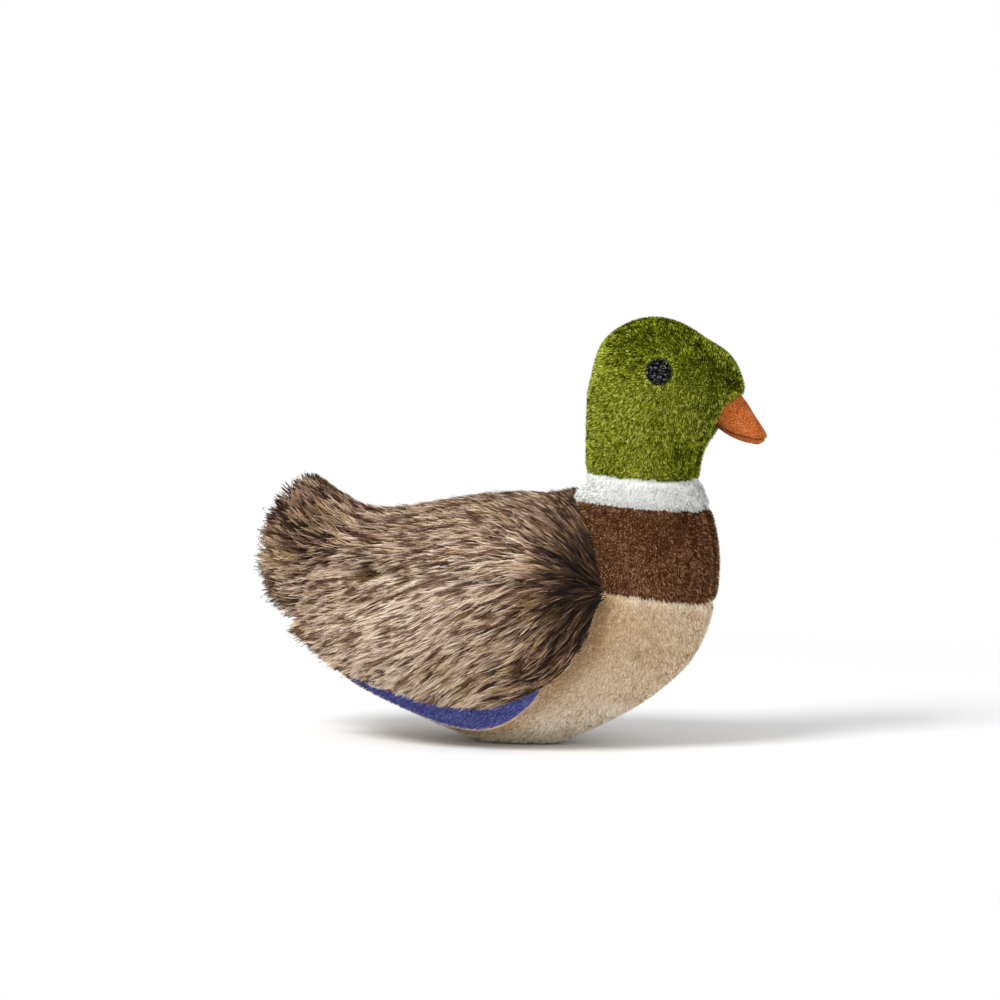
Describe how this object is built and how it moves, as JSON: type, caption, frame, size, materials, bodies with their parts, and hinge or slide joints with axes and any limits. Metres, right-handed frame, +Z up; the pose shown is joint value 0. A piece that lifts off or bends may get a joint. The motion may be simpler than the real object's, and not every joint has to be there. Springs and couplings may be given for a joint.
{
  "type": "plush duck",
  "caption": "Stuffed drake toy of short plush and long mottled fur cloth, with embroidered eyes, a stitched beak, an upturned tail and sewn wing flaps that lift off its flanks.",
  "frame": {"origin": "on the flat under the belly's plane, halfway from the tail tip to the beak tip and on the middle plane", "axes": "+X the way the duck faces, +Y its left side, +Z up"},
  "size_m": [0.2062, 0.089, 0.1708],
  "materials": {
    "green_plush": "short dense pile",
    "white_plush": "short dense pile",
    "brown_plush": "short dense pile",
    "cream_plush": "short dense pile",
    "mottled_fur": "long pile, streaked tan and dark brown",
    "blue_plush": "short dense pile with a sheen",
    "orange_suede": "brushed woven cloth",
    "black_thread": "satin-stitch embroidery",
    "stuffing": "loose polyester fibre"
  },
  "bodies": {
    "trunk": {"head_panel_left": "green_plush", "head_panel_right": "green_plush", "collar_panel_left": "white_plush", "collar_panel_right": "white_plush", "chest_panel_left": "brown_plush", "chest_panel_right": "brown_plush", "belly_panel_left": "cream_plush", "belly_panel_right": "cream_plush", "back_panel_left": "mottled_fur", "back_panel_right": "mottled_fur", "tail_panel_left": "mottled_fur", "tail_panel_right": "mottled_fur", "eye_left": "black_thread", "eye_right": "black_thread", "beak_upper": "orange_suede", "beak_lower": "orange_suede", "beak_stuffing": "stuffing", "head_stuffing": "stuffing", "body_stuffing": "stuffing", "tail_stuffing": "stuffing"},
    "wing_left": {"wing_lining_left": "cream_plush", "wing_fur_left": "mottled_fur", "wing_band_left": "blue_plush"},
    "wing_right": {"wing_lining_right": "cream_plush", "wing_fur_right": "mottled_fur", "wing_band_right": "blue_plush"}
  },
  "joints": [
    {"name": "wing_left_lift", "type": "hinge", "parent": "trunk", "child": "wing_left", "pos_m": [-0.01494, 0.01628, 0.06886], "axis": [0.9934, 0.1094, -0.0355], "range_deg": [0, 60]},
    {"name": "wing_right_lift", "type": "hinge", "parent": "trunk", "child": "wing_right", "pos_m": [-0.01494, -0.01628, 0.06886], "axis": [-0.9934, 0.1094, 0.0355], "range_deg": [0, 60]}
  ]
}
